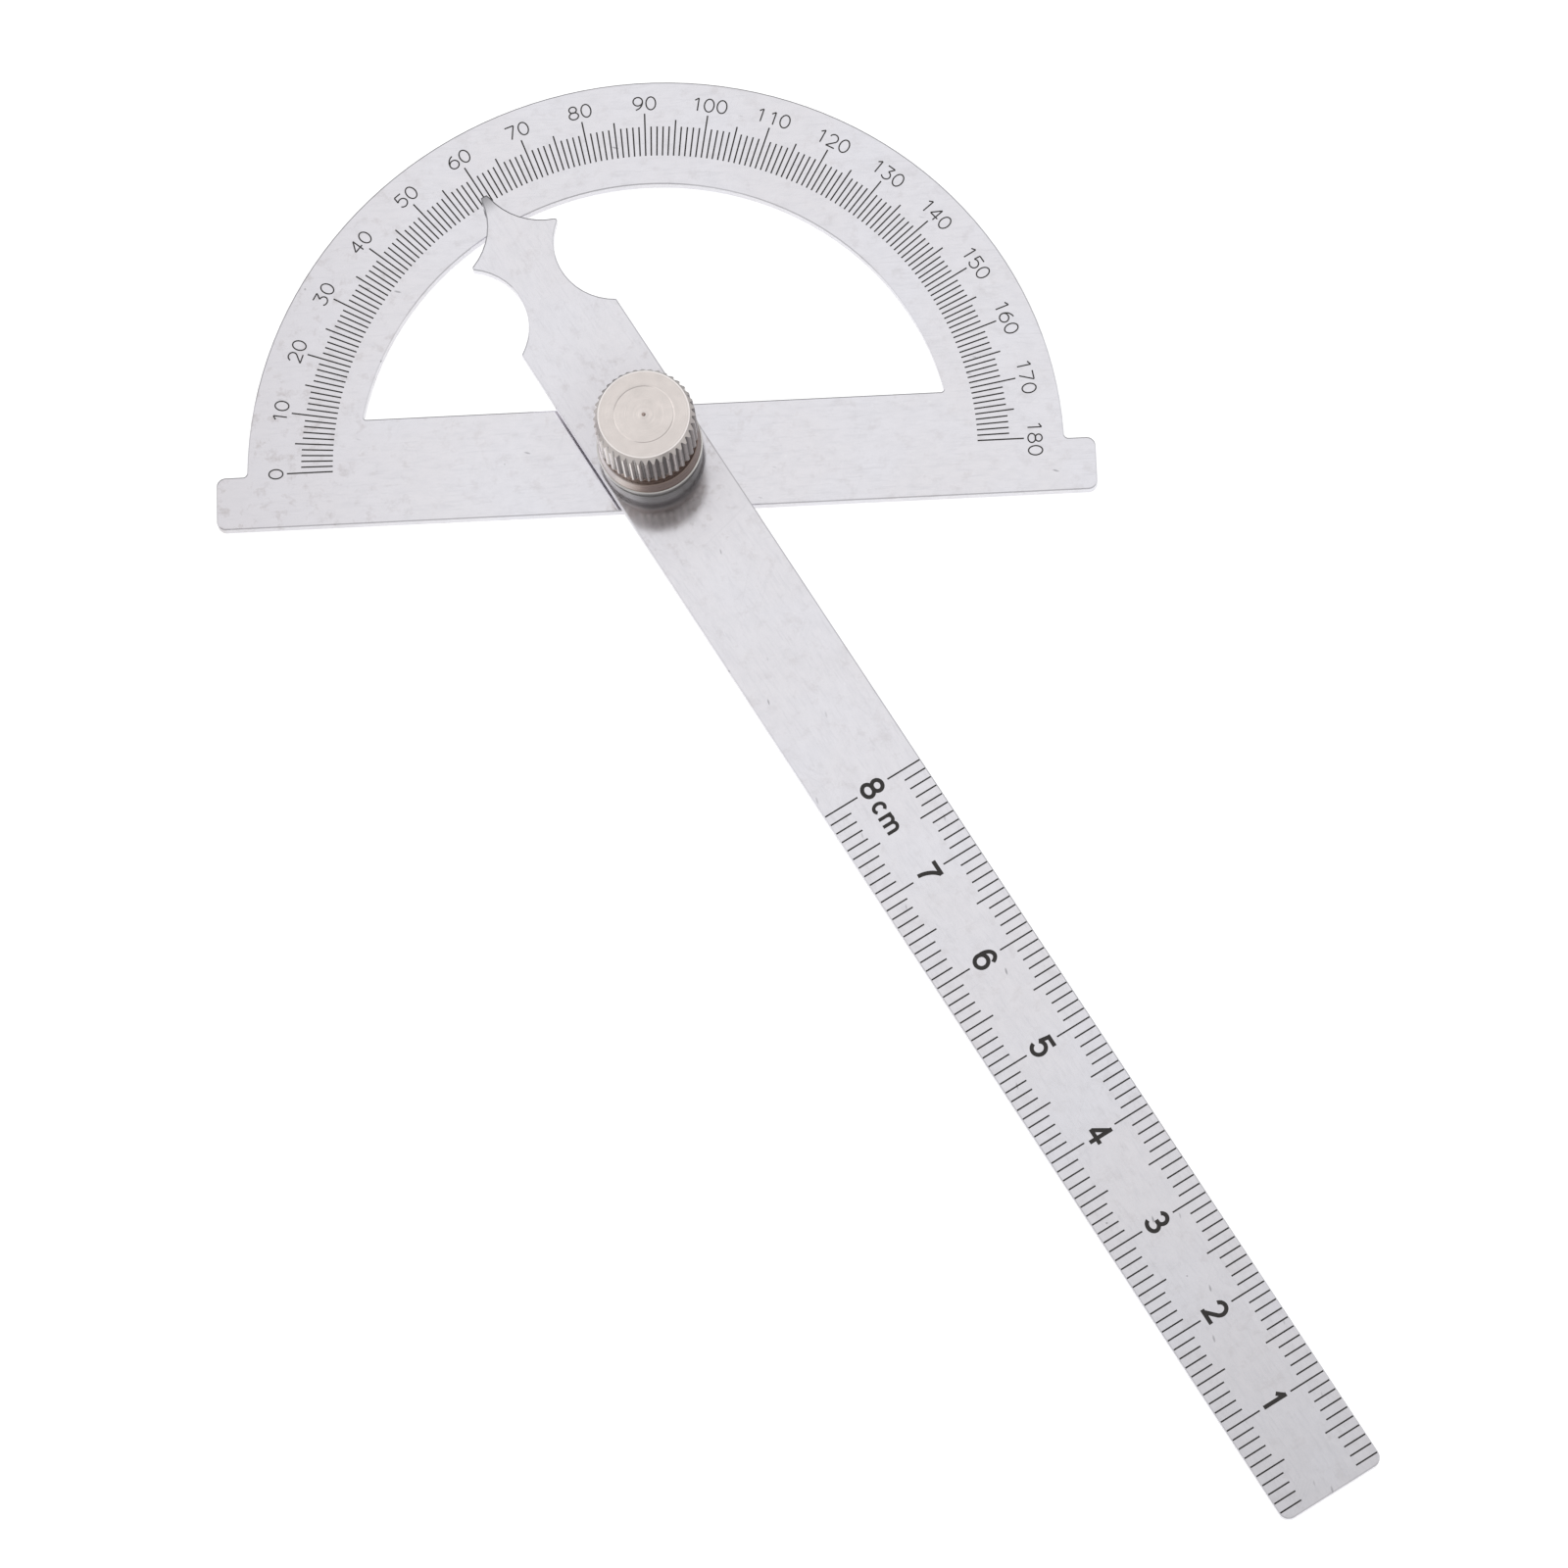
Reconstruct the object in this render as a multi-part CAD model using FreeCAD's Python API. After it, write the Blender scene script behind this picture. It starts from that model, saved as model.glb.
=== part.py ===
import FreeCAD, Part
import math
import os

# Sheet-steel protractor: a half-round degree plate, a ruler arm that swings on a central
# stud, and a knurled thumb nut that locks the arm.
# Frame: the origin is the pivot centre on the face the plate lies on. +X runs along the
# base bar towards the 180 degree end, +Y towards the 90 degree mark, +Z up to the nut.

V = FreeCAD.Vector
UP = V(0, 0, 1)

# Driving dimensions, in millimetres and degrees.
SHEET = 1.0                 # thickness of the plate and of the arm
EDGE_ROLL_WIDTH = 0.12      # rolled-over top edges of the stamped sheets and the thin washer
EDGE_ROLL_DEPTH = 0.07
MARK_DEPTH = 0.06           # depth of the etched marks

# The plate is laid out from the centre of its degree scale.
SCALE_CENTRE = (0.2, 0.25)  # from the pivot: the stud is centred on the base bar, not on the scale
ARC_CENTRE_Y = -0.6         # centre of the half-round outline, just below the scale's centre
PLATE_RADIUS = 39.8
WINDOW_RADIUS = 29.0
WINDOW_CORNER = 0.3
BAR_TOP_Y = 5.2
BAR_BOTTOM_Y = -5.5
WING_HALF_SPAN = 42.8
WING_TOP_Y = -0.15
WING_CORNER = 0.9
WING_ROOT_FILLET = 0.45

ARM_HALF_WIDTH = 5.4
ARM_END = 120.4             # the zero mark of the ruler, measured from the pivot
ARM_CORNER = 1.0
ARM_TURN = 60.1             # from +X down to the ruler end, at rest
NECK_RADIUS = 6.2
NECK_CENTRE = (-20.65, 8.65)
HORN_S = -25.72             # where the waist and pointer curves would meet, before rounding
HORN_ROUNDING = 0.25
POINTER_HOLLOW = (-28.0, 1.82)
POINTER_NOSE = (-31.2, 0.45)
POINTER_TIP = (-31.6, 0.32)

SPACER_RADIUS = 4.6
SPACER_THICKNESS = 1.0
FLAT_WASHER_RADIUS = 4.95
FLAT_WASHER_THICKNESS = 0.8
LOCK_WASHER_RADIUS = 4.85
LOCK_WASHER_THICKNESS = 1.2
LOCK_WASHER_GAP = 0.5

STUD_RADIUS = 2.0
THREAD_PITCH = 0.7
THREAD_DEPTH = 0.38
HEAD_RADIUS = 3.0
HEAD_RIM = 0.12             # straight rim of the countersunk head
HEAD_TOP = HEAD_RIM + HEAD_RADIUS - STUD_RADIUS
NUT_BORE_RADIUS = 2.05
ARM_HOLE_RADIUS = 2.05
WASHER_HOLE_RADIUS = 2.15

NUT_WASHER_RADIUS = 5.14
NUT_WASHER_THICKNESS = 0.35

NUT_HEIGHT = 8.25
NUT_FACE_RADIUS = 4.42
KNURL_RADIUS = 4.88
KNURL_RIBS = 40
KNURL_DEPTH = 0.3
RIB_HALF_WIDTH = 0.11       # half a rib's crest, as a share of the rib spacing
VALLEY_HALF_WIDTH = 0.08    # half a valley's floor, as a share of the rib spacing
KNURL_BOTTOM = 2.85         # heights on the nut are from its underside
KNURL_CHAMFER = 0.15        # at the lower end of the ribs
FACE_BEVEL_HEIGHT = 0.8     # from the face down to the full rib crest
GROOVE_RADIUS = 4.35
COLLAR_TOP = 1.3
COLLAR_TOP_RADIUS = 4.78
COLLAR_TOP_BREAK = 0.08
COLLAR_RADIUS = 5.0
COLLAR_BEVEL = 0.15
BORE_DEPTH = 6.05
STUD_TOP_GAP = 0.5          # free space over the stud in the nut's bore
TURNED_RING_RADIUS = 2.86
TURNED_RING_WIDTH = 0.1
TURNED_RING_DEPTH = 0.015
CENTRE_DIMPLE_RADIUS = 0.2
CENTRE_DIMPLE_DEPTH = 0.4

DEGREE_INNER = 31.4
DEGREE_OUTER = {1: 34.5, 5: 35.2, 10: 35.9}
DEGREE_LINE = 0.15
DEGREE_LABEL_RADIUS = 36.22
DEGREE_DIGIT_HEIGHT = 1.5
DEGREE_DIGIT_PITCH = 1.28
DEGREE_DIGIT_STROKE = 0.14

RULER_LENGTH_MM = 80
RULER_TICK = {1: 2.4, 5: 3.15, 10: 3.72}
RULER_LINE = 0.16
RULER_EDGE_MARGIN = 0.1
RULER_DIGIT_HEIGHT = 2.46
RULER_DIGIT_STROKE = 0.41
RULER_DIGIT_NARROWING = 0.93
UNIT_HEIGHT = 1.47
UNIT_STROKE = 0.35
UNIT_C_OFFSET = 2.02
UNIT_M_OFFSET = 3.85

# Heights of the stack, from the face the plate lies on.
SPACER_Z = SHEET
ARM_Z = SPACER_Z + SPACER_THICKNESS
FLAT_WASHER_Z = ARM_Z + SHEET
LOCK_WASHER_Z = FLAT_WASHER_Z + FLAT_WASHER_THICKNESS
NUT_WASHER_Z = LOCK_WASHER_Z + LOCK_WASHER_THICKNESS
NUT_Z = NUT_WASHER_Z + NUT_WASHER_THICKNESS

# Digits as centre lines in a box one unit high. A stroke is ("line", x0, y0, x1, y1) or
# ("arc", centre x, centre y, x radius, y radius, start angle, end angle).
THIN_DIGITS = {
    "0": [("arc", 0, 0.5, 0.35, 0.5, 0, 360)],
    "1": [("line", 0.13, 0, 0.13, 1), ("line", -0.14, 0.8, 0.13, 1)],
    "2": [("arc", 0, 0.68, 0.32, 0.32, -45, 165), ("line", 0.226, 0.454, -0.33, 0),
          ("line", -0.33, 0, 0.35, 0)],
    "3": [("line", -0.3, 1, 0.3, 1), ("line", 0.3, 1, -0.01, 0.6),
          ("arc", -0.01, 0.3, 0.33, 0.3, -150, 90)],
    "4": [("line", 0.16, 1, -0.36, 0.3), ("line", -0.36, 0.3, 0.36, 0.3),
          ("line", 0.16, 1, 0.16, 0)],
    "5": [("line", -0.24, 1, 0.3, 1), ("line", -0.24, 1, -0.27, 0.54),
          ("arc", 0, 0.33, 0.34, 0.33, -150, 142)],
    "6": [("arc", 0, 0.33, 0.34, 0.33, 0, 360), ("arc", 0.3, 0.36, 0.64, 0.64, 102, 182)],
    "7": [("line", -0.34, 1, 0.34, 1), ("line", 0.34, 1, -0.12, 0)],
    "8": [("arc", 0, 0.76, 0.27, 0.24, 0, 360), ("arc", 0, 0.27, 0.34, 0.27, 0, 360)],
    "9": [("arc", 0, 0.67, 0.34, 0.33, 0, 360), ("arc", -0.3, 0.64, 0.64, 0.64, -78, 2)],
}
BOLD_DIGITS = {
    "1": [("line", 0, -0.1, 0, 1.1), ("line", -0.29, 0.7, -0.02, 1)],
    "2": [("arc", 0, 0.68, 0.32, 0.32, -45, 168), ("line", 0.24, 0.468, -0.3, -0.02),
          ("line", -0.42, 0, 0.42, 0)],
    "3": [("arc", -0.02, 0.745, 0.27, 0.255, -92, 160), ("arc", 0, 0.255, 0.34, 0.255, -160, 92),
          ("line", -0.12, 0.5, 0.06, 0.5)],
    "4": [("line", 0.12, 0.98, -0.36, 0.27), ("line", -0.42, 0.27, 0.46, 0.27),
          ("line", 0.13, -0.1, 0.13, 1.1)],
    "5": [("line", -0.32, 1, 0.34, 1), ("line", -0.2, 1.05, -0.29, 0.52),
          ("arc", 0, 0.33, 0.34, 0.33, -162, 150)],
    "6": [("arc", 0, 0.315, 0.335, 0.315, 0, 360), ("arc", 0.02, 0.5, 0.355, 0.5, 30, 200)],
    "7": [("line", -0.42, 1, 0.42, 1), ("arc", 0.95, -0.08, 1.1, 1.25, 121, 176)],
    "8": [("arc", 0, 0.755, 0.29, 0.245, 0, 360), ("arc", 0, 0.26, 0.34, 0.26, 0, 360)],
    "c": [("arc", 0, 0.5, 0.4, 0.5, 42, 318)],
    "m": [("line", -0.72, -0.13, -0.72, 1.13), ("arc", -0.36, 0.62, 0.36, 0.38, 0, 180),
          ("arc", 0.36, 0.62, 0.36, 0.38, 0, 180), ("line", 0, -0.13, 0, 0.62),
          ("line", 0.72, -0.13, 0.72, 0.62)],
}


def arc_between(start, middle, end):
    return Part.Arc(V(*start), V(*middle), V(*end)).toShape()


def line_between(start, end):
    return Part.makeLine(V(*start), V(*end))


def ring(outer, inner, thickness, z):
    disc = Part.makeCylinder(outer, thickness, V(0, 0, z))
    hole = Part.makeCylinder(inner, thickness, V(0, 0, z))
    return disc.cut(hole)


def revolve(profile):
    """Turn a closed (radius, height) outline about the stud's axis."""
    points = [V(radius, 0, height) for radius, height in profile]
    wire = Part.makePolygon(points + [points[0]])
    return Part.Face(wire).revolve(V(0, 0, 0), UP, 360)


def roll_edges(blank, z):
    """Slope every edge of an upright blank that lies at height z, wider than it is deep."""
    walls_first = sorted(blank.Faces, key=lambda face: abs(face.normalAt(0, 0).z))
    solid = Part.Solid(Part.Shell(walls_first))
    edges = []
    for edge in solid.Edges:
        box = edge.BoundBox
        if abs(box.ZMin - z) < 1e-6 and abs(box.ZMax - z) < 1e-6:
            edges.append(edge)
    return solid.makeChamfer(EDGE_ROLL_DEPTH, EDGE_ROLL_WIDTH, edges)


def line_stroke(x0, y0, x1, y1, width):
    """A straight stroke with square ends, as a flat face."""
    along = V(x1 - x0, y1 - y0, 0)
    along.normalize()
    side = V(-along.y, along.x, 0) * (width / 2)
    start = V(x0, y0, 0)
    end = V(x1, y1, 0)
    corners = [start + side, start - side, end - side, end + side]
    return Part.Face(Part.makePolygon(corners + [corners[0]]))


def ellipse_curve(x, y, x_radius, y_radius):
    """An ellipse and the turn that makes its parameter start at +X."""
    centre = V(x, y, 0)
    if abs(x_radius - y_radius) < 1e-9:
        return Part.Circle(centre, UP, x_radius), 0
    if x_radius > y_radius:
        return Part.Ellipse(centre + V(x_radius, 0, 0), centre + V(0, y_radius, 0), centre), 0
    return Part.Ellipse(centre + V(0, y_radius, 0), centre - V(x_radius, 0, 0), centre), -90


def arc_stroke(x, y, x_radius, y_radius, start, end, width):
    """A curved stroke between two angles, as a flat face; 0 to 360 closes it."""
    curves = []
    for offset in (width / 2, -width / 2):
        curve, turn = ellipse_curve(x, y, x_radius + offset, y_radius + offset)
        if end - start == 360:
            curves.append(curve.toShape())
        else:
            first = math.radians(start + turn)
            last = math.radians(end + turn)
            curves.append(curve.toShape(first, last))
    outer, inner = curves
    if end - start == 360:
        return Part.Face(Part.Wire(outer)).cut(Part.Face(Part.Wire(inner)))
    starts = Part.makeLine(outer.valueAt(outer.FirstParameter), inner.valueAt(inner.FirstParameter))
    ends = Part.makeLine(outer.valueAt(outer.LastParameter), inner.valueAt(inner.LastParameter))
    return Part.Face(Part.Wire(Part.__sortEdges__([outer, ends, inner, starts])))


def digit_faces(strokes, height, width, narrowing=1.0):
    """The flat faces of one character, its outline height tall and standing on y = 0."""
    tall = height - width
    wide = tall * narrowing
    lift = width / 2
    faces = []
    for kind, *values in strokes:
        if kind == "line":
            x0, y0, x1, y1 = values
            faces.append(line_stroke(x0 * wide, y0 * tall + lift, x1 * wide, y1 * tall + lift, width))
        else:
            x, y, x_radius, y_radius, start, end = values
            faces.append(arc_stroke(x * wide, y * tall + lift, x_radius * wide, y_radius * tall,
                                    start, end, width))
    return faces


def placed(faces, offset, turn):
    """Copies of flat faces, moved by offset and then turned about the pivot."""
    moved = []
    for face in faces:
        copy = face.copy()
        copy.translate(offset)
        copy.rotate(V(0, 0, 0), UP, turn)
        moved.append(copy)
    return moved


def etch(solid, faces, top):
    """Sink flat faces into the solid's top face as shallow grooves."""
    cutters = []
    for face in faces:
        tool = face.extrude(UP * 2 * MARK_DEPTH)
        tool.translate(V(0, 0, top - MARK_DEPTH))
        cutters.append(tool)
    return solid.cut(cutters)


def tick_length(number, lengths):
    if number % 10 == 0:
        return lengths[10]
    if number % 5 == 0:
        return lengths[5]
    return lengths[1]


def degree_marks():
    """The one-degree lines and their numbers, counted clockwise from the -X side."""
    faces = []
    for degree in range(181):
        outer = tick_length(degree, DEGREE_OUTER)
        tick = line_stroke(DEGREE_INNER, 0, outer, 0, DEGREE_LINE)
        faces += placed([tick], V(0, 0, 0), 180 - degree)
        if degree % 10 == 0:
            text = str(degree)
            for index, character in enumerate(text):
                across = (index - (len(text) - 1) / 2) * DEGREE_DIGIT_PITCH
                digit = digit_faces(THIN_DIGITS[character], DEGREE_DIGIT_HEIGHT, DEGREE_DIGIT_STROKE)
                faces += placed(digit, V(across, DEGREE_LABEL_RADIUS, 0), 90 - degree)
    return faces


def ruler_marks():
    """Millimetre lines on both edges and centimetre numbers, along the unturned arm."""
    faces = []
    outside = ARM_HALF_WIDTH - RULER_EDGE_MARGIN
    for number in range(1, RULER_LENGTH_MM + 1):
        s = ARM_END - number
        inside = ARM_HALF_WIDTH - tick_length(number, RULER_TICK)
        for side in (1, -1):
            faces.append(line_stroke(s, side * inside, s, side * outside, RULER_LINE))
    for centimetre in range(1, RULER_LENGTH_MM // 10 + 1):
        s = ARM_END - 10 * centimetre
        digit = digit_faces(BOLD_DIGITS[str(centimetre)], RULER_DIGIT_HEIGHT, RULER_DIGIT_STROKE,
                            RULER_DIGIT_NARROWING)
        faces += placed(digit, V(s, -RULER_DIGIT_HEIGHT / 2, 0), 0)
    last = ARM_END - RULER_LENGTH_MM
    for character, offset in (("c", UNIT_C_OFFSET), ("m", UNIT_M_OFFSET)):
        letter = digit_faces(BOLD_DIGITS[character], UNIT_HEIGHT, UNIT_STROKE)
        faces += placed(letter, V(last + offset, -RULER_DIGIT_HEIGHT / 2, 0), 0)
    return faces


def plate_outline():
    """Outer edge of the degree plate, walked anticlockwise from the lower right corner."""
    corner = WING_CORNER
    bend = corner * (1 - math.sqrt(0.5))
    fillet_y = WING_TOP_Y + WING_ROOT_FILLET
    reach = PLATE_RADIUS + WING_ROOT_FILLET
    fillet_x = math.sqrt(reach ** 2 - (fillet_y - ARC_CENTRE_Y) ** 2)
    touch_x = fillet_x * PLATE_RADIUS / reach
    touch_y = ARC_CENTRE_Y + (fillet_y - ARC_CENTRE_Y) * PLATE_RADIUS / reach
    dip = WING_ROOT_FILLET * math.sqrt(0.5)
    edges = []
    for side in (1, -1):
        end = side * WING_HALF_SPAN
        low_middle = (end - side * bend, BAR_BOTTOM_Y + bend)
        high_middle = (end - side * bend, WING_TOP_Y - bend)
        edges += [
            arc_between((end - side * corner, BAR_BOTTOM_Y), low_middle, (end, BAR_BOTTOM_Y + corner)),
            line_between((end, BAR_BOTTOM_Y + corner), (end, WING_TOP_Y - corner)),
            arc_between((end, WING_TOP_Y - corner), high_middle, (end - side * corner, WING_TOP_Y)),
            line_between((end - side * corner, WING_TOP_Y), (side * fillet_x, WING_TOP_Y)),
            arc_between((side * fillet_x, WING_TOP_Y), (side * (fillet_x - dip), fillet_y - dip),
                        (side * touch_x, touch_y)),
        ]
    edges.append(arc_between((touch_x, touch_y), (0, ARC_CENTRE_Y + PLATE_RADIUS), (-touch_x, touch_y)))
    low_end = WING_HALF_SPAN - corner
    edges.append(line_between((-low_end, BAR_BOTTOM_Y), (low_end, BAR_BOTTOM_Y)))
    return Part.Wire(Part.__sortEdges__(edges))


def window_outline():
    """The half-round window between the scale and the base bar."""
    floor = BAR_TOP_Y + WINDOW_CORNER
    reach = WINDOW_RADIUS - WINDOW_CORNER
    centre_x = math.sqrt(reach ** 2 - (floor - ARC_CENTRE_Y) ** 2)
    touch_x = centre_x * WINDOW_RADIUS / reach
    touch_y = ARC_CENTRE_Y + (floor - ARC_CENTRE_Y) * WINDOW_RADIUS / reach
    bend = WINDOW_CORNER * math.sqrt(0.5)
    edges = [line_between((-centre_x, BAR_TOP_Y), (centre_x, BAR_TOP_Y))]
    for side in (1, -1):
        edges.append(arc_between((side * centre_x, BAR_TOP_Y),
                                 (side * (centre_x + bend), floor - bend),
                                 (side * touch_x, touch_y)))
    edges.append(arc_between((touch_x, touch_y), (0, ARC_CENTRE_Y + WINDOW_RADIUS), (-touch_x, touch_y)))
    return Part.Wire(Part.__sortEdges__(edges))


def head_recess():
    """Countersink and hole in the plate, filled by the stud's riveted head."""
    return revolve([(0, 0), (HEAD_RADIUS, 0), (HEAD_RADIUS, HEAD_RIM), (STUD_RADIUS, HEAD_TOP),
                    (0, HEAD_TOP)])


def degree_plate():
    blank = Part.Face(plate_outline()).extrude(UP * SHEET)
    window = Part.Face(window_outline()).extrude(UP * SHEET)
    plate = roll_edges(blank.cut(window), SHEET)
    plate = etch(plate, degree_marks(), SHEET)
    plate.translate(V(*SCALE_CENTRE, 0))
    plate = plate.cut(Part.makeCylinder(STUD_RADIUS, SHEET))
    return plate.cut(head_recess())


def neck_half_width(s):
    """Half-width of the arm at s, on the round cut of its waist."""
    centre_s, centre_w = NECK_CENTRE
    return centre_w - math.sqrt(NECK_RADIUS ** 2 - (s - centre_s) ** 2)


def arm_outline():
    """Edge of the arm lying along +X: ruler end, straight sides, waist and pointer."""
    bend = ARM_CORNER * (1 - math.sqrt(0.5))
    centre_s, centre_w = NECK_CENTRE
    shoulder = centre_s + math.sqrt(NECK_RADIUS ** 2 - (centre_w - ARM_HALF_WIDTH) ** 2)
    inner_end = ARM_END - ARM_CORNER
    end_w = ARM_HALF_WIDTH - ARM_CORNER
    edges = []
    for side in (1, -1):
        edge_w = side * ARM_HALF_WIDTH
        waist = (centre_s, side * neck_half_width(centre_s))
        horn = (HORN_S, side * neck_half_width(HORN_S))
        hollow, nose, tip = [(s, side * w) for s, w in (POINTER_HOLLOW, POINTER_NOSE, POINTER_TIP)]
        edges += [
            arc_between((ARM_END, side * end_w), (ARM_END - bend, side * (ARM_HALF_WIDTH - bend)),
                        (inner_end, edge_w)),
            line_between((inner_end, edge_w), (shoulder, edge_w)),
            arc_between((shoulder, edge_w), waist, horn),
            arc_between(horn, hollow, nose),
            line_between(nose, tip),
        ]
    edges.append(line_between((ARM_END, -end_w), (ARM_END, end_w)))
    tip_s, tip_w = POINTER_TIP
    edges.append(line_between((tip_s, tip_w), (tip_s, -tip_w)))
    return Part.Wire(Part.__sortEdges__(edges))


def ruler_arm():
    blank = Part.Face(arm_outline()).extrude(UP * SHEET)
    horns = []
    for edge in blank.Edges:
        box = edge.BoundBox
        if box.XLength < 1e-6 and abs(box.XMin - HORN_S) < 1e-6:
            horns.append(edge)
    arm = roll_edges(blank.makeFillet(HORN_ROUNDING, horns), SHEET)
    arm = arm.cut(Part.makeCylinder(ARM_HOLE_RADIUS, SHEET))
    arm = etch(arm, ruler_marks(), SHEET)
    arm.translate(V(0, 0, ARM_Z))
    arm.rotate(V(0, 0, 0), UP, -ARM_TURN)
    return arm


def pivot_stud():
    """Riveted countersunk head, plain shank through the arm, then thread rings to the top."""
    top = NUT_Z + BORE_DEPTH - STUD_TOP_GAP
    root = STUD_RADIUS - THREAD_DEPTH
    profile = [(0, 0), (HEAD_RADIUS, 0), (HEAD_RADIUS, HEAD_RIM), (STUD_RADIUS, HEAD_TOP)]
    crest = THREAD_PITCH / 8
    height = FLAT_WASHER_Z + THREAD_PITCH / 2
    while height + THREAD_PITCH < top - THREAD_DEPTH:
        profile += [(STUD_RADIUS, height), (root, height + (THREAD_PITCH - crest) / 2),
                    (STUD_RADIUS, height + THREAD_PITCH - crest)]
        height += THREAD_PITCH
    profile += [(STUD_RADIUS, top - THREAD_DEPTH), (root, top), (0, top)]
    return revolve(profile)


def arm_spacer():
    return ring(SPACER_RADIUS, WASHER_HOLE_RADIUS, SPACER_THICKNESS, SPACER_Z)


def flat_washer():
    return ring(FLAT_WASHER_RADIUS, WASHER_HOLE_RADIUS, FLAT_WASHER_THICKNESS, FLAT_WASHER_Z)


def lock_washer():
    """Split spring washer: a ring cut through at the back by a gap that leans 45 degrees."""
    washer = ring(LOCK_WASHER_RADIUS, WASHER_HOLE_RADIUS, LOCK_WASHER_THICKNESS, LOCK_WASHER_Z)
    rise = LOCK_WASHER_THICKNESS
    low = LOCK_WASHER_Z
    corners = [V(0, 0, low), V(LOCK_WASHER_GAP, 0, low), V(LOCK_WASHER_GAP + rise, 0, low + rise),
               V(rise, 0, low + rise)]
    slot = Part.Face(Part.makePolygon(corners + [corners[0]]))
    return washer.cut(slot.extrude(V(0, 2 * LOCK_WASHER_RADIUS, 0)))


def nut_washer():
    """Thin washer a little wider than the nut's collar, with its top edge rolled over."""
    top = NUT_WASHER_THICKNESS
    washer = revolve([
        (WASHER_HOLE_RADIUS, 0), (NUT_WASHER_RADIUS, 0), (NUT_WASHER_RADIUS, top - EDGE_ROLL_DEPTH),
        (NUT_WASHER_RADIUS - EDGE_ROLL_WIDTH, top), (WASHER_HOLE_RADIUS, top),
    ])
    washer.translate(V(0, 0, NUT_WASHER_Z))
    return washer


def knurled_band(height):
    """A cylinder with straight V grooves around it, standing on z = 0."""
    step = 2 * math.pi / KNURL_RIBS
    root = KNURL_RADIUS - KNURL_DEPTH
    corners = [(KNURL_RADIUS, -RIB_HALF_WIDTH), (KNURL_RADIUS, RIB_HALF_WIDTH),
               (root, 0.5 - VALLEY_HALF_WIDTH), (root, 0.5 + VALLEY_HALF_WIDTH)]
    points = []
    for number in range(KNURL_RIBS):
        for radius, turn in corners:
            angle = (number + turn) * step
            points.append(V(radius * math.cos(angle), radius * math.sin(angle), 0))
    return Part.Face(Part.makePolygon(points + [points[0]])).extrude(UP * height)


def thumb_nut():
    """Knurled drum over a waist groove and a flared collar, with a blind bore."""
    drum_bottom = KNURL_BOTTOM - KNURL_CHAMFER
    drum_profile = [
        (0, drum_bottom), (KNURL_RADIUS - KNURL_CHAMFER, drum_bottom), (KNURL_RADIUS, KNURL_BOTTOM),
        (KNURL_RADIUS, NUT_HEIGHT - FACE_BEVEL_HEIGHT), (NUT_FACE_RADIUS, NUT_HEIGHT), (0, NUT_HEIGHT),
    ]
    drum = knurled_band(NUT_HEIGHT).common(revolve(drum_profile))
    foot = revolve([
        (0, 0), (COLLAR_RADIUS - COLLAR_BEVEL, 0), (COLLAR_RADIUS, COLLAR_BEVEL),
        (COLLAR_TOP_RADIUS, COLLAR_TOP - COLLAR_TOP_BREAK),
        (COLLAR_TOP_RADIUS - COLLAR_TOP_BREAK, COLLAR_TOP),
        (GROOVE_RADIUS, COLLAR_TOP), (GROOVE_RADIUS, KNURL_BOTTOM), (0, KNURL_BOTTOM),
    ])
    nut = drum.fuse(foot)
    nut = nut.cut(Part.makeCylinder(NUT_BORE_RADIUS, BORE_DEPTH))
    half = TURNED_RING_WIDTH / 2
    nut = nut.cut(revolve([
        (TURNED_RING_RADIUS - half, NUT_HEIGHT), (TURNED_RING_RADIUS, NUT_HEIGHT - TURNED_RING_DEPTH),
        (TURNED_RING_RADIUS + half, NUT_HEIGHT),
    ]))
    nut = nut.cut(revolve([
        (0, NUT_HEIGHT - CENTRE_DIMPLE_DEPTH), (CENTRE_DIMPLE_RADIUS, NUT_HEIGHT), (0, NUT_HEIGHT),
    ]))
    nut.translate(V(0, 0, NUT_Z))
    return nut.removeSplitter()


PIECES = {
    "degree_plate": degree_plate,
    "ruler_arm": ruler_arm,
    "pivot_stud": pivot_stud,
    "arm_spacer": arm_spacer,
    "flat_washer": flat_washer,
    "lock_washer": lock_washer,
    "nut_washer": nut_washer,
    "thumb_nut": thumb_nut,
}

os.makedirs("parts", exist_ok=True)
for name, make in PIECES.items():
    shape = make()
    print(name, "solids", len(shape.Solids), "faces", len(shape.Faces), "valid", shape.isValid(),
          "volume %.2f" % shape.Volume)
    shape.exportStep("parts/%s.step" % name)
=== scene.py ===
import math
import bmesh
import bpy
from mathutils import Matrix, Vector


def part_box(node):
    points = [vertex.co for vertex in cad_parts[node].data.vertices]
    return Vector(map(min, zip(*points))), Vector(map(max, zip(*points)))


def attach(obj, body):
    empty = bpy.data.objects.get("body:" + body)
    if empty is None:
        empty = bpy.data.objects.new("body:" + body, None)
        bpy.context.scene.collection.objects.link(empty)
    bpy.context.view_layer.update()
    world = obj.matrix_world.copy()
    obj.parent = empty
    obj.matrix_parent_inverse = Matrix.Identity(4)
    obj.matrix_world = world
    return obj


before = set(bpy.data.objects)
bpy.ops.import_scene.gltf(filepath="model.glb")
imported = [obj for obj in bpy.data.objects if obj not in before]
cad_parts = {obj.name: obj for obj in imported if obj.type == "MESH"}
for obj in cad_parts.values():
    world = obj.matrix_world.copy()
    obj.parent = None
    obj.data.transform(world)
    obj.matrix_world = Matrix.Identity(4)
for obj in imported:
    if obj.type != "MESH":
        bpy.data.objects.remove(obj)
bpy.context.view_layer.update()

# The whole scene is in metres. Textures are laid out in millimetres on each piece's own
# coordinates, so that they move with the piece.
MM = 0.001
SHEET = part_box("degree_plate")[1].z
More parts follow.
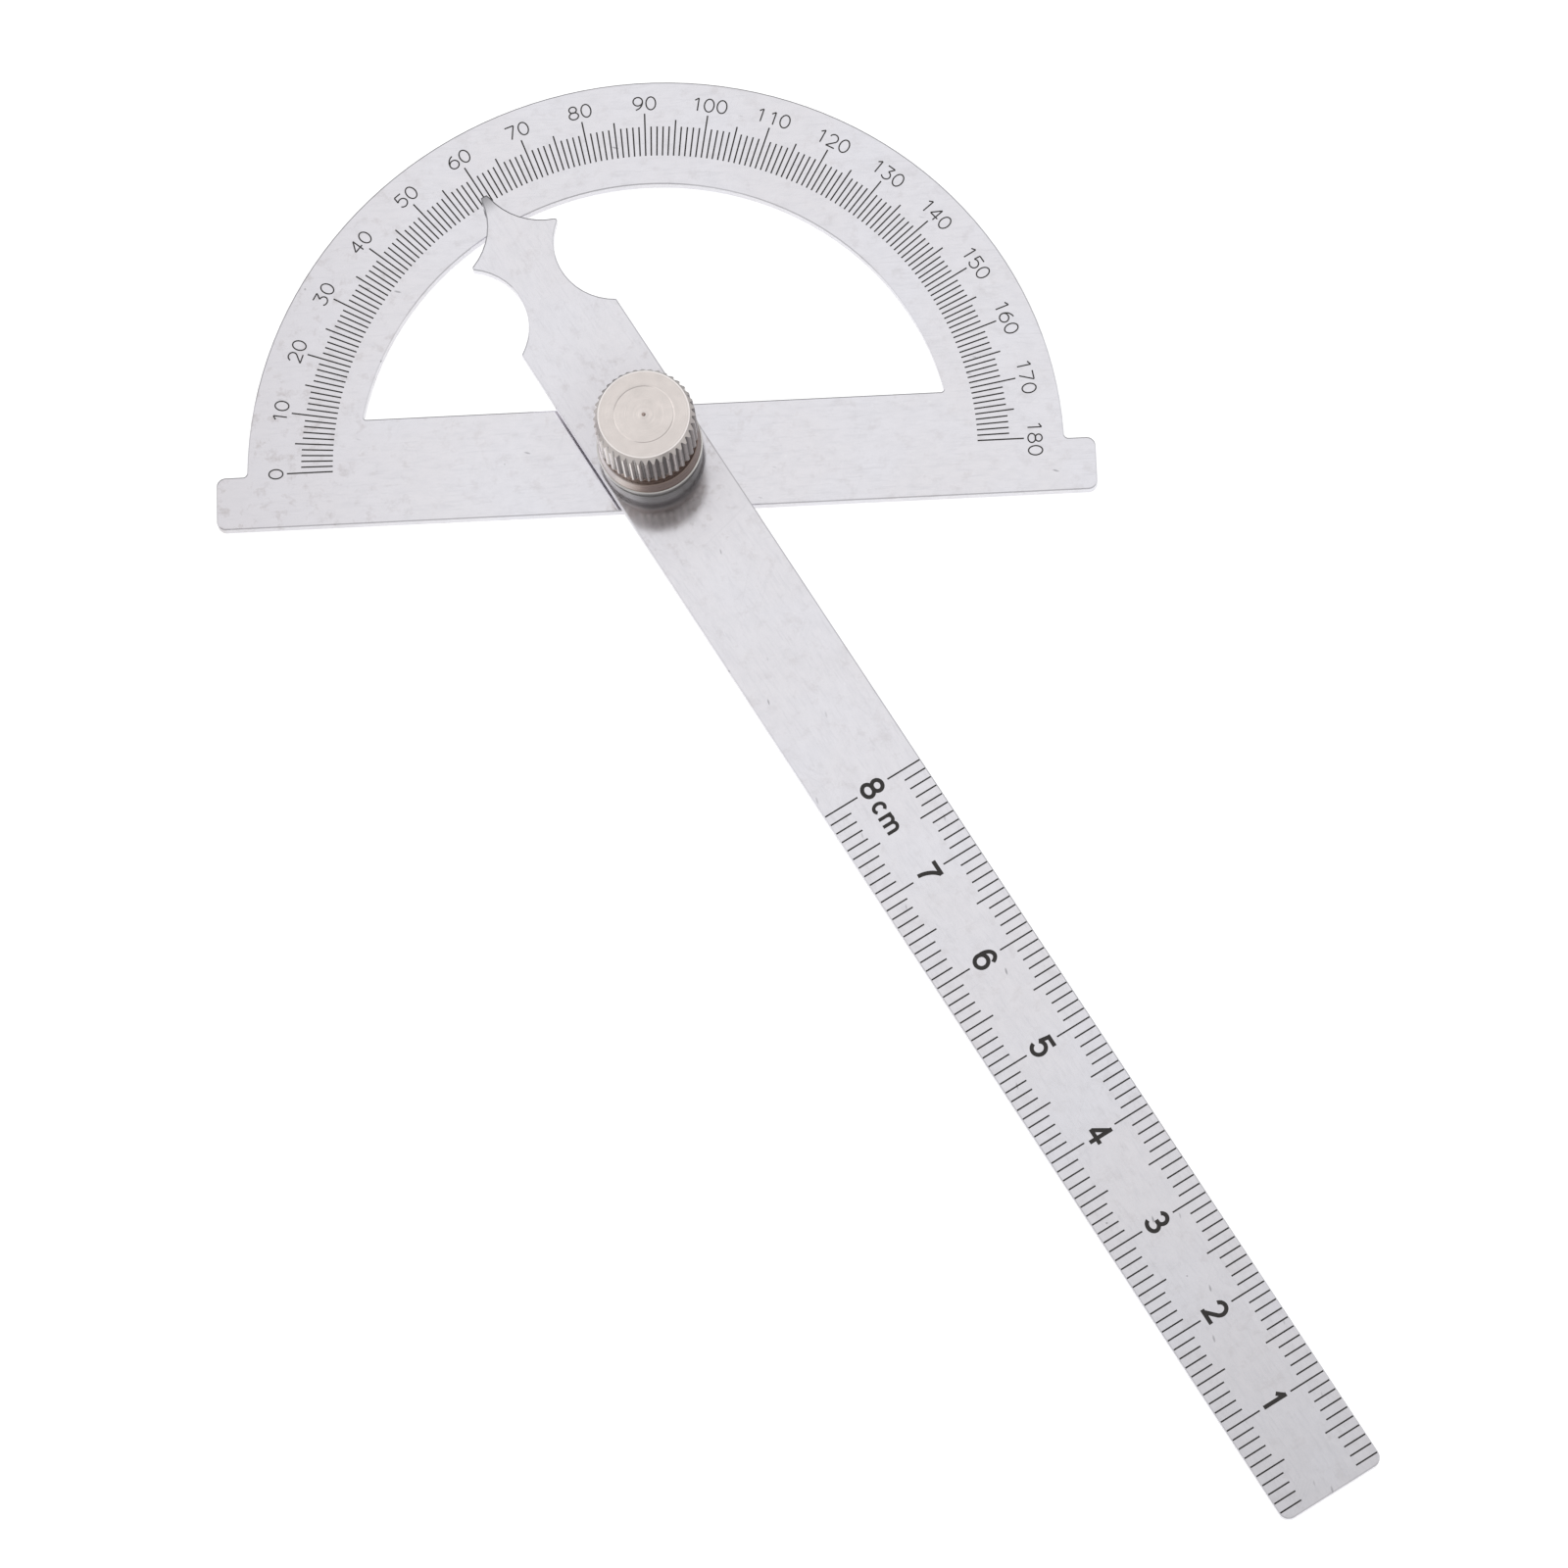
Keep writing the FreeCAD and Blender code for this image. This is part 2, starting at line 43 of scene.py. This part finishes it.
ARM_ANGLE = 60              # degrees: about how far clockwise of +X the ruler end points
FLOOR_SIZE = 6.0
FLOOR_GAP = 0.01 * MM       # keeps the floor from sharing a plane with the underside

# Etched marks: how far under a face their floor lies, how far the filling stands off that floor,
# and how thick the filling is. Heights or points nearer to each other than the last two are one.
MARK_DEPTH = 0.06 * MM
INK_LIFT = 0.003 * MM
INK_THICKNESS = 0.045 * MM
SAME_HEIGHT = 0.005 * MM
SAME_POINT = 0.0005 * MM

# Camera: a long lens that looks down on the plate, rolled a little to its own right. Its azimuth
# is counted from -Y towards +X.
CAMERA_AIM = Vector((0.01166, -0.03359, SHEET))
CAMERA_DISTANCE = 0.6077
CAMERA_AZIMUTH = math.radians(7.34)
CAMERA_ELEVATION = math.radians(73.13)
CAMERA_ROLL = math.radians(-9.67)
CAMERA_LENS = 146.0
CAMERA_NEAR = 0.01

# Softboxes: degrees above the horizon, distance from the pivot, and length of a side.
SOFTBOX_ELEVATION = 36
SOFTBOX_DISTANCE = 1.2
SOFTBOX_SIZE = 0.9

# Linear colours. The last two are filters, which multiply the colour that they lie on.
WHITE = (1.0, 1.0, 1.0)
STEEL = (0.767, 0.760, 0.803)
WARM_STEEL = (0.757, 0.736, 0.760)
BRIGHT_STEEL = (0.82, 0.82, 0.84)
NICKEL = (0.76, 0.70, 0.672)
# Painted highlight for the rim of the nut's end face.
NICKEL_HIGHLIGHT = (0.98, 0.95, 0.94)
# Brown patina and painted shade for the nut's collar.
BROWN_SHADED_NICKEL = (0.30, 0.235, 0.21)
PLATED = (0.58, 0.56, 0.545)
STUD = (0.45, 0.44, 0.435)
INK = (0.020, 0.017, 0.016)
FLOOR = (0.5, 0.5, 0.5)
FLOOR_GLOW = 0.75           # the floor is a lit table, so shadows on it stay faint
# Warmer and darker, for the plate's left end and around the pivot.
WARM_DARK_FILTER = (0.80, 0.775, 0.765)
STAIN_FILTER = (0.64, 0.60, 0.57)

# Spans of the normal's Z, from one kind of surface to the next.
UNDERSIDE_TO_WALL = (-0.9, -0.5)
WALL_TO_SLOPE = (0.2, 0.4)
ROLLED_EDGE_TO_FACE = (0.93, 0.985)

# The nut, in millimetres: the radius of its flat face, and the height of the collar at its foot.
NUT_FACE_RADIUS = 4.42
NUT_COLLAR_HEIGHT = 1.5

# How far from the pivot, in millimetres, a face turns warmer, darker and duller, and how far a
# dark tip reaches back.
PIVOT_TONE_ZONE = (5.5, 14.0)
DARK_TIP_LENGTH = 2.2

# Zones that begin and end somewhere along a direction, as beyond takes them: the direction in
# degrees from +X towards +Y, and two distances from the pivot in millimetres.
NOWHERE = (90, 90, 91)      # nothing reaches so far
# The plate turns warmer and darker over this zone, towards its left end.
PLATE_WARM_END = (180, 16, 46)
# Over this zone the pointer's rolled edges take their darkest painted shade.
POINTER_DARKENING = (180 - ARM_ANGLE, 23, 31.6)
# Over this zone, towards the back, the nut's bevel takes its darkest painted shade.
BEVEL_SHADE_BACK = (90, 0.0, 4.0)
# The collar's painted shade is darkest over this zone, towards the front right.
COLLAR_SHADE_SIDE = (-30, -1.5, 2.0)


def shade(colour, factor):
    return tuple(channel * factor for channel in colour)


def filtered(colour, colour_filter):
    return tuple(channel * part for channel, part in zip(colour, colour_filter))


def new_material(name):
    """A material with a Principled shader, its node tree, and that shader."""
    material = bpy.data.materials.new(name)
    material.use_nodes = True
    tree = material.node_tree
    return material, tree, tree.nodes["Principled BSDF"]


def feed(tree, socket, value):
    """Links an input to a socket, or sets it to a number, vector or colour."""
    if isinstance(value, bpy.types.NodeSocket):
        tree.links.new(value, socket)
    elif socket.type == "RGBA":
        socket.default_value = (*value, 1.0)
    else:
        socket.default_value = value


def feed_by_name(tree, node, values):
    for name, value in values.items():
        feed(tree, node.inputs[name], value)


def add(tree, kind, *inputs, **settings):
    """Adds a node. Inputs are numbers, tuples or sockets, in the node's order."""
    node = tree.nodes.new("ShaderNode" + kind)
    for key, value in settings.items():
        setattr(node, key, value)
    for socket, value in zip(node.inputs, inputs):
        feed(tree, socket, value)
    return node


def math_node(tree, operation, *inputs):
    return add(tree, "Math", *inputs, operation=operation).outputs[0]


def plus(tree, total, *terms):
    for term in terms:
        total = math_node(tree, "ADD", total, term)
    return total


def minus(tree, total, *terms):
    for term in terms:
        total = math_node(tree, "SUBTRACT", total, term)
    return total


def times(tree, product, *factors):
    for factor in factors:
        product = math_node(tree, "MULTIPLY", product, factor)
    return product


def between(tree, share, low, high):
    """Low where the share is 0, high where it is 1."""
    return math_node(tree, "MULTIPLY_ADD", share, high - low, low)


def ramp(tree, value, span, levels=(0.0, 1.0), kind="LINEAR"):
    """The first level up to the start of the span, the second from its end on."""
    return add(tree, "MapRange", value, *span, *levels, interpolation_type=kind).outputs[0]


def smooth_ramp(tree, value, span, levels=(0.0, 1.0)):
    return ramp(tree, value, span, levels, "SMOOTHSTEP")


def mix_colours(tree, factor, first, second):
    node = add(tree, "Mix", data_type="RGBA")
    colour_a, colour_b = (socket for socket in node.inputs if socket.type == "RGBA")
    feed(tree, node.inputs[0], factor)
    feed(tree, colour_a, first)
    feed(tree, colour_b, second)
    return [socket for socket in node.outputs if socket.type == "RGBA"][0]


def layered(tree, tint, layers):
    """A colour with layers laid over it, each an amount and a colour."""
    for amount, colour in layers:
        tint = mix_colours(tree, amount, tint, colour)
    return tint


def scaled_coordinates(tree, scale=(1, 1, 1), turn=0.0):
    """Millimetre coordinates on the piece, turned about Z in radians, then scaled."""
    place = add(tree, "TexCoord").outputs["Object"]
    in_mm = add(tree, "VectorMath", place, (1 / MM, 1 / MM, 1 / MM), operation="MULTIPLY")
    turned = add(tree, "VectorRotate", in_mm.outputs[0], rotation_type="Z_AXIS")
    feed(tree, turned.inputs["Angle"], turn)
    return add(tree, "VectorMath", turned.outputs[0], scale, operation="MULTIPLY").outputs[0]


def noise(tree, coordinates, scale, detail, roughness=0.55):
    node = add(tree, "TexNoise", coordinates)
    feed_by_name(tree, node, {"Scale": scale, "Detail": detail, "Roughness": roughness})
    return node.outputs["Fac"]


def bumps(tree, height, strength, depth):
    """A normal that follows a height; the depth is in metres."""
    node = add(tree, "Bump")
    feed_by_name(tree, node, {"Strength": strength, "Distance": depth, "Height": height})
    return node.outputs[0]


def upward(tree):
    """Which way the surface faces on the piece: 1 up, 0 on upright walls, -1 down."""
    normal = add(tree, "SeparateXYZ", add(tree, "TexCoord").outputs["Normal"])
    return normal.outputs["Z"]


def beyond(tree, direction, start, end):
    """0 before a zone, 1 after it, and smooth over it."""
    along = add(tree, "SeparateXYZ", scaled_coordinates(tree, turn=-math.radians(direction)))
    return smooth_ramp(tree, along.outputs["X"], (start, end))


def hairlines(tree, turn, scale, width):
    """Sparse hairline scratches in one direction: 1 on a line, 0 elsewhere."""
    along = scaled_coordinates(tree, (0.035, 1.0, 1.0), turn)
    lines = noise(tree, along, scale, detail=1.0, roughness=0.3)
    distance = math_node(tree, "ABSOLUTE", minus(tree, lines, 0.5))
    line = ramp(tree, distance, (0.0, width), (1.0, 0.0))
    patches = noise(tree, scaled_coordinates(tree, turn=turn + 1.0), scale=0.17, detail=2.0)
    return times(tree, line, ramp(tree, patches, (0.55, 0.63)))


def spots(tree, coordinates, scale, radius, share):
    """Scattered spots in a share of the cells: 1 inside, 0 outside; the radius is in cells."""
    cells = add(tree, "TexVoronoi", coordinates)
    feed(tree, cells.inputs["Scale"], scale)
    spot = smooth_ramp(tree, cells.outputs["Distance"], (radius * 0.4, radius), (1.0, 0.0))
    random_part = add(tree, "SeparateColor", cells.outputs["Color"]).outputs[0]
    return times(tree, spot, ramp(tree, random_part, (1 - share, 1.02 - share)))


def steel_material(name, grain_turn, warm_zone, dark_edged, pivot_tone):
    """Polished stainless sheet: clouds, rolling streaks, hairlines, flecks, pits, nicks, stains.
    The rolled-over edges carry painted shade, and the walls and the underside are duller.
    Grain_turn, in radians, brings the rolling direction onto X. Over the first zone the face
    turns warmer and darker.
    Over the second, dark_edged, the rolled edges carry dark painted shade, and at its end the
    face turns dark too.
    The last argument is how much warmer, darker and duller the face turns around the pivot."""
    material, tree, shader = new_material(name)
    millimetres = scaled_coordinates(tree)

    clouds = noise(tree, millimetres, scale=0.11, detail=3.0, roughness=0.5)
    mottle_place = scaled_coordinates(tree, (0.6, 1.0, 1.0), grain_turn)
    mottle = noise(tree, mottle_place, scale=1.15, detail=4.0, roughness=0.62)
    streak_place = scaled_coordinates(tree, (0.13, 1.0, 1.0), grain_turn)
    streaks = noise(tree, streak_place, scale=3.6, detail=3.0, roughness=0.6)
    flecks = noise(tree, millimetres, scale=2.6, detail=2.0, roughness=0.5)
    stains = noise(tree, millimetres, scale=0.75, detail=4.0, roughness=0.65)

    pits = spots(tree, millimetres, scale=0.42, radius=0.07, share=0.18)
    nick_place = scaled_coordinates(tree, (0.28, 1.0, 1.0), grain_turn + 0.3)
    nicks = times(tree, spots(tree, nick_place, scale=0.9, radius=0.12, share=0.42),
                  ramp(tree, clouds, (0.42, 0.56), (0.12, 0.80)))

    marks = hairlines(tree, turn=0.5, scale=1.5, width=0.012)
    for turn, scale in ((-0.75, 1.1), (1.9, 0.8), (2.7, 1.9)):
        marks = math_node(tree, "MAXIMUM", marks, hairlines(tree, turn, scale, width=0.010))

    faces_up = upward(tree)
    from_pivot = add(tree, "VectorMath", millimetres, operation="LENGTH").outputs["Value"]
    # Near the pivot the face turns warmer, darker and duller.
    worn = smooth_ramp(tree, from_pivot, PIVOT_TONE_ZONE, (pivot_tone, 0.0))
    # The face turns warmer and darker over the warm zone and near the pivot.
    warm = plus(tree, times(tree, beyond(tree, *warm_zone), 0.5), worn)
    # The rolled edges carry painted shade: faint everywhere, dark along the pointer.
    rolled_edge = times(tree, ramp(tree, faces_up, WALL_TO_SLOPE),
                        ramp(tree, faces_up, ROLLED_EDGE_TO_FACE, (1.0, 0.0)))
    painted_edge_shade = times(tree, rolled_edge, between(tree, beyond(tree, *dark_edged), 0.18, 0.98))
    direction, _, tip = dark_edged
    tip_darkness = times(tree, beyond(tree, direction, tip - DARK_TIP_LENGTH, tip), 0.75)

    dull = shade(STEEL, 0.88)
    hollow = shade(STEEL, 0.42)
    tint = layered(tree, STEEL, (
        (ramp(tree, clouds, (0.36, 0.60), (0.0, 0.55)), WARM_STEEL),
        (ramp(tree, mottle, (0.40, 0.72), (0.0, 0.40)), dull),
        (ramp(tree, streaks, (0.52, 0.74), (0.0, 0.60)), dull),
        (times(tree, ramp(tree, flecks, (0.66, 0.73)), 0.30), BRIGHT_STEEL),
        (times(tree, pits, 0.8), hollow),
        (nicks, hollow),
        (times(tree, marks, 0.16), shade(STEEL, 0.78)),
        (warm, filtered(STEEL, WARM_DARK_FILTER)),
        (times(tree, ramp(tree, stains, (0.54, 0.70)), between(tree, warm, 0.20, 1.20)),
         filtered(STEEL, STAIN_FILTER)),
        # Painted shade on the rolled edges, and the face darkening towards the tip.
        (math_node(tree, "MAXIMUM", painted_edge_shade, tip_darkness), shade(STEEL, 0.25)),
    ))
    roughness = plus(tree, ramp(tree, mottle, (0.3, 0.7), (0.05, 0.09)),
                     times(tree, streaks, 0.03),
                     times(tree, marks, 0.04),
                     times(tree, worn, 0.17),
                     ramp(tree, faces_up, WALL_TO_SLOPE, (0.22, 0.0)),
                     ramp(tree, faces_up, UNDERSIDE_TO_WALL, (0.30, 0.0)))
    height = plus(tree, times(tree, mottle, 0.6), times(tree, streaks, 0.25))
    height = minus(tree, height, times(tree, marks, 0.08), times(tree, pits, 2.0))
    normal = bumps(tree, height, strength=0.35, depth=0.006 * MM)
    feed_by_name(tree, shader, {"Base Color": tint, "Roughness": roughness, "Normal": normal,
                                "Metallic": 1.0})
    return material


def knurled_face(tree, colour, radius, z, face_radius, face_height):
    """The colour layers of a nut's knurled head, and where its bevel is. All in millimetres."""
    faces_up = upward(tree)
    high = ramp(tree, z, (face_height - 1.0, face_height - 0.9))
    bevel = times(tree, high, ramp(tree, radius, (face_radius, face_radius + 0.02)),
                  ramp(tree, faces_up, WALL_TO_SLOPE))
    # The bevel carries painted shade, darkest towards the back.
    painted_bevel_shade = mix_colours(tree, beyond(tree, *BEVEL_SHADE_BACK), shade(colour, 0.6),
                               shade(colour, 0.28))
    # Painted shade in the knurl's grooves, darkest in the valleys.
    grooves = times(tree, ramp(tree, radius, (face_radius + 0.05, face_radius + 0.1)),
                    ramp(tree, radius, (face_radius + 0.18, face_radius + 0.40), (0.8, 0.0)),
                    ramp(tree, faces_up, (0.2, 0.3), (1.0, 0.0)))
    # Painted highlight along the rim of the end face, on its flat top.
    rim = times(tree, ramp(tree, radius, (face_radius - 0.14, face_radius - 0.08)),
                ramp(tree, faces_up, (0.9, 0.95), (0.0, 0.55)), high)
    layers = [(bevel, painted_bevel_shade), (grooves, shade(colour, 0.2)), (rim, NICKEL_HIGHLIGHT)]
    return layers, bevel


def turned_material(name, colour, roughness, ring_scale, ring_depth, face=None, foot=None):
    """Metal turned on a lathe: fine rings about the pivot axis, slight staining. With face,
    the radius and height in mm of an end face, its rim gets a painted highlight, the bevel around
    it is duller and carries painted shade, most at the back, and the grooves in the sides carry
    painted shade.
    With foot, a height in mm, the metal below it gets a brown patina all round and painted shade,
    most on one side."""
    material, tree, shader = new_material(name)
    millimetres = scaled_coordinates(tree)
    x, y, z = add(tree, "SeparateXYZ", millimetres).outputs
    radius = math_node(tree, "SQRT", plus(tree, times(tree, x, x), times(tree, y, y)))
    profile = add(tree, "CombineXYZ", radius, z, 0.0).outputs[0]
    rings = noise(tree, profile, ring_scale, detail=4.0, roughness=0.7)
    stains = noise(tree, millimetres, scale=0.9, detail=4.0, roughness=0.6)
    specks = noise(tree, millimetres, scale=7.0, detail=3.0, roughness=0.6)

    dark = shade(colour, 0.9)
    layers = [(ramp(tree, stains, (0.35, 0.7)), dark),
              (ramp(tree, rings, (0.3, 0.7), (0.0, 0.5)), dark)]
    rough_parts = [ramp(tree, rings, (0.3, 0.7), (roughness - 0.04, roughness + 0.06))]
    if face:
        face_layers, bevel = knurled_face(tree, colour, radius, z, *face)
        layers += face_layers
        rough_parts.append(times(tree, bevel, 0.12))
    if foot:
        # Below the foot the collar gets a brown patina all round and painted shade, darkest
        # towards the front right.
        collar_patina_and_shade = times(tree, ramp(tree, z, (foot - 0.1, foot), (1.0, 0.0)),
                        between(tree, beyond(tree, *COLLAR_SHADE_SIDE), 0.2, 1.0))
        layers.append((collar_patina_and_shade, BROWN_SHADED_NICKEL))
        rough_parts.append(times(tree, collar_patina_and_shade, 0.10))
    rough_parts.append(times(tree, specks, 0.05))
    height = plus(tree, rings, times(tree, specks, 0.25))
    feed_by_name(tree, shader, {"Base Color": layered(tree, colour, layers),
                                "Roughness": plus(tree, *rough_parts),
                                "Normal": bumps(tree, height, strength=0.6, depth=ring_depth),
                                "Metallic": 1.0})
    return material


def ink_material():
    """Black etch filling, a little worn and uneven."""
    material, tree, shader = new_material("etch_ink")
    wear = noise(tree, scaled_coordinates(tree), scale=2.2, detail=4.0, roughness=0.65)
    pale = shade(INK, 2.5)
    tint = mix_colours(tree, ramp(tree, wear, (0.50, 0.75), (0.0, 0.7)), INK, pale)
    roughness = ramp(tree, wear, (0.3, 0.7), (0.45, 0.7))
    feed_by_name(tree, shader, {"Base Color": tint, "Roughness": roughness})
    return material


def floor_material():
    material, tree, shader = new_material("pale_floor")
    feed_by_name(tree, shader, {"Base Color": FLOOR, "Roughness": 0.9,
                                "Emission Color": WHITE, "Emission Strength": FLOOR_GLOW})
    return material


def paint(node_name, material):
    """Gives every slot of a CAD node one material."""
    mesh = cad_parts[node_name].data
    if not mesh.materials:
        mesh.materials.append(material)
    for index in range(len(mesh.materials)):
        mesh.materials[index] = material


def ink_piece(name, node_name, body, material):
    """Fills a node's etched marks: their floor faces, copied and thickened a little."""
    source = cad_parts[node_name].data
    floor_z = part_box(node_name)[1].z - MARK_DEPTH
    marks = bmesh.new()
    marks.from_mesh(source)
    others = [face for face in marks.faces
              if any(abs(vertex.co.z - floor_z) > SAME_HEIGHT for vertex in face.verts)]
    bmesh.ops.delete(marks, geom=others, context="FACES")
    bmesh.ops.remove_doubles(marks, verts=marks.verts, dist=SAME_POINT)
    bmesh.ops.translate(marks, verts=marks.verts, vec=(0, 0, INK_LIFT))
    lower = list(marks.faces)
    raised = bmesh.ops.extrude_face_region(marks, geom=lower, use_keep_orig=True)["geom"]
    top = [item for item in raised if isinstance(item, bmesh.types.BMVert)]
    bmesh.ops.translate(marks, verts=top, vec=(0, 0, INK_THICKNESS))
    bmesh.ops.recalc_face_normals(marks, faces=marks.faces)
    mesh = bpy.data.meshes.new(name)
    marks.to_mesh(mesh)
    marks.free()
    mesh.materials.append(material)
    piece = bpy.data.objects.new(name, mesh)
    bpy.context.scene.collection.objects.link(piece)
    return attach(piece, body)


def add_floor():
    bpy.ops.mesh.primitive_plane_add(size=FLOOR_SIZE, location=(0, 0, -FLOOR_GAP))
    floor = bpy.context.object
    floor.name = "floor"
    floor.data.materials.append(floor_material())


def facing(target, away, distance):
    """A place at a distance from the target, turned to look back at it."""
    turn = away.to_track_quat("Z", "Y").to_matrix().to_4x4()
    return Matrix.Translation(target + away * distance) @ turn


def add_camera():
    flat = math.cos(CAMERA_ELEVATION)
    away = Vector((math.sin(CAMERA_AZIMUTH) * flat, -math.cos(CAMERA_AZIMUTH) * flat,
                   math.sin(CAMERA_ELEVATION)))
    camera = bpy.data.objects.new("camera", bpy.data.cameras.new("camera"))
    roll = Matrix.Rotation(CAMERA_ROLL, 4, "Z")
    camera.matrix_world = facing(CAMERA_AIM, away, CAMERA_DISTANCE) @ roll
    camera.data.lens = CAMERA_LENS
    camera.data.clip_start = CAMERA_NEAR
    bpy.context.scene.collection.objects.link(camera)
    bpy.context.scene.camera = camera


def add_softbox(name, azimuth, power):
    """A square area light that faces the pivot; azimuth is counted from +X towards +Y."""
    flat = math.cos(math.radians(SOFTBOX_ELEVATION))
    away = Vector((math.cos(math.radians(azimuth)) * flat, math.sin(math.radians(azimuth)) * flat,
                   math.sin(math.radians(SOFTBOX_ELEVATION))))
    light = bpy.data.lights.new(name, "AREA")
    light.size = SOFTBOX_SIZE
    light.energy = power
    lamp = bpy.data.objects.new(name, light)
    lamp.matrix_world = facing(Vector(), away, SOFTBOX_DISTANCE)
    bpy.context.scene.collection.objects.link(lamp)


def add_surroundings():
    """A light tent: even all round and dimmer near the horizon. Overhead it is brighter on the
    left, and dim on the right and towards the camera. Spans are of the direction's X, Y or Z."""
    world = bpy.data.worlds.new("tent")
    bpy.context.scene.world = world
    world.use_nodes = True
    tree = world.node_tree
    x, y, z = add(tree, "SeparateXYZ", add(tree, "TexCoord").outputs["Generated"]).outputs
    sides = times(tree, smooth_ramp(tree, z, (0.05, 0.50), (0.42, 1.0)),
                  smooth_ramp(tree, y, (-0.6, 0.1), (0.74, 0.88)))
    back = times(tree, smooth_ramp(tree, y, (0.0, 0.30), (0.0, 0.65)),
                 smooth_ramp(tree, x, (0.06, 0.28), (1.0, 0.3)))
    left = smooth_ramp(tree, x, (-0.14, -0.32), (0.35, 1.25))
    front = smooth_ramp(tree, y, (-0.12, -0.28), (0.0, 0.12))
    overhead = plus(tree, back, left, front)
    strength = smooth_ramp(tree, z, (0.72, 0.90), (sides, overhead))
    feed_by_name(tree, tree.nodes["Background"], {"Color": WHITE, "Strength": strength})


add_camera()
add_floor()
add_surroundings()
add_softbox("left_box", azimuth=170, power=0.6)
add_softbox("right_box", azimuth=15, power=0.4)

plate_steel = steel_material("plate_steel", grain_turn=0.0, warm_zone=PLATE_WARM_END,
                             dark_edged=NOWHERE, pivot_tone=0.12)
arm_steel = steel_material("arm_steel", grain_turn=math.radians(ARM_ANGLE), warm_zone=NOWHERE,
                           dark_edged=POINTER_DARKENING, pivot_tone=0.5)
nut_low, nut_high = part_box("thumb_nut")
nickel = turned_material("nut_nickel", NICKEL, roughness=0.16, ring_scale=3.2,
                         ring_depth=0.03 * MM, face=(NUT_FACE_RADIUS, nut_high.z / MM),
                         foot=nut_low.z / MM + NUT_COLLAR_HEIGHT)
plated = turned_material("washer_plate", PLATED, roughness=0.14, ring_scale=3.0,
                         ring_depth=0.008 * MM)
stud_steel = turned_material("stud_steel", STUD, roughness=0.25, ring_scale=5.0,
                             ring_depth=0.010 * MM)
ink = ink_material()

paint("degree_plate", plate_steel)
paint("ruler_arm", arm_steel)
paint("thumb_nut", nickel)
for washer in ("nut_washer", "arm_spacer"):
    paint(washer, plated)
for plain in ("pivot_stud", "lock_washer", "flat_washer"):
    paint(plain, stud_steel)

ink_piece("degree_ink", "degree_plate", "plate", ink)
ink_piece("ruler_ink", "ruler_arm", "arm", ink)

bpy.context.scene.view_settings.view_transform = "Standard"
